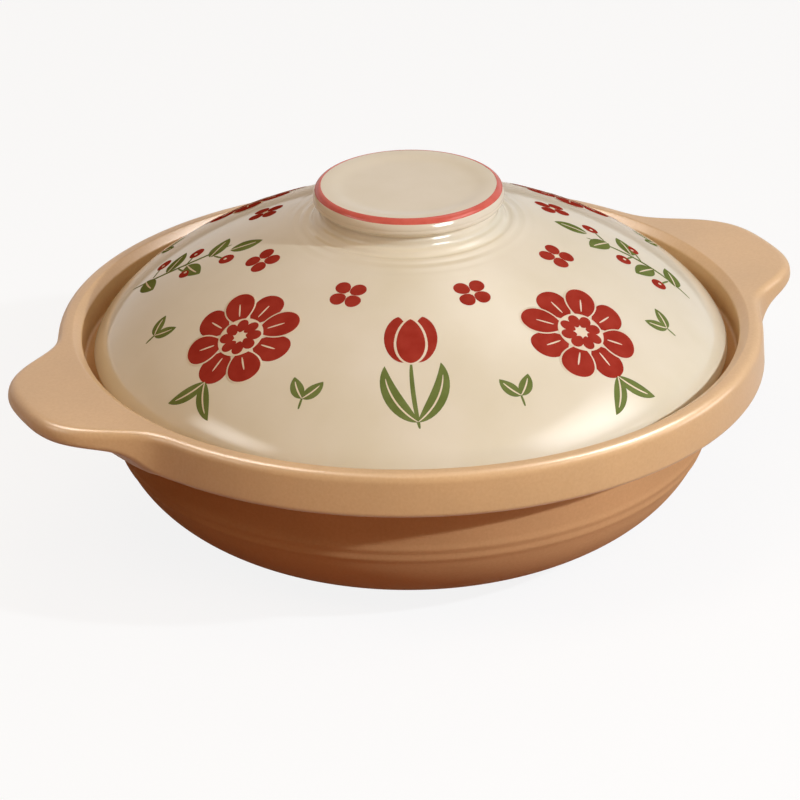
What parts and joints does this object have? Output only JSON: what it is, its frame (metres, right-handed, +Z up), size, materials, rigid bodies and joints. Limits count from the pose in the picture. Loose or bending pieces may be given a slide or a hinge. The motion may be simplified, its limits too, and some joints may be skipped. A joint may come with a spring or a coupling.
{
  "type": "covered clay pot",
  "caption": "Shallow round clay casserole with lug handles level with its rim, a sunk gallery, and a domed glazed lid with a dished knob that lifts off.",
  "frame": {"origin": "middle of the foot, on the surface that the pot stands on", "axes": "+Z up along the pot's axis, X through the two handles"},
  "size_m": [0.324, 0.2728, 0.134],
  "materials": {
    "clay": "satin tan slip over fired clay",
    "cream_glaze": "glossy cream glaze"
  },
  "bodies": {
    "pot": {"vessel": "clay", "handle_left": "clay", "handle_right": "clay"},
    "lid": {"lid_dome": "cream_glaze", "lid_knob": "cream_glaze"}
  },
  "joints": [
    {"name": "lid_lift", "type": "slide", "parent": "pot", "child": "lid", "axis": [0, 0, 1], "range_m": [0, 0.15]}
  ]
}
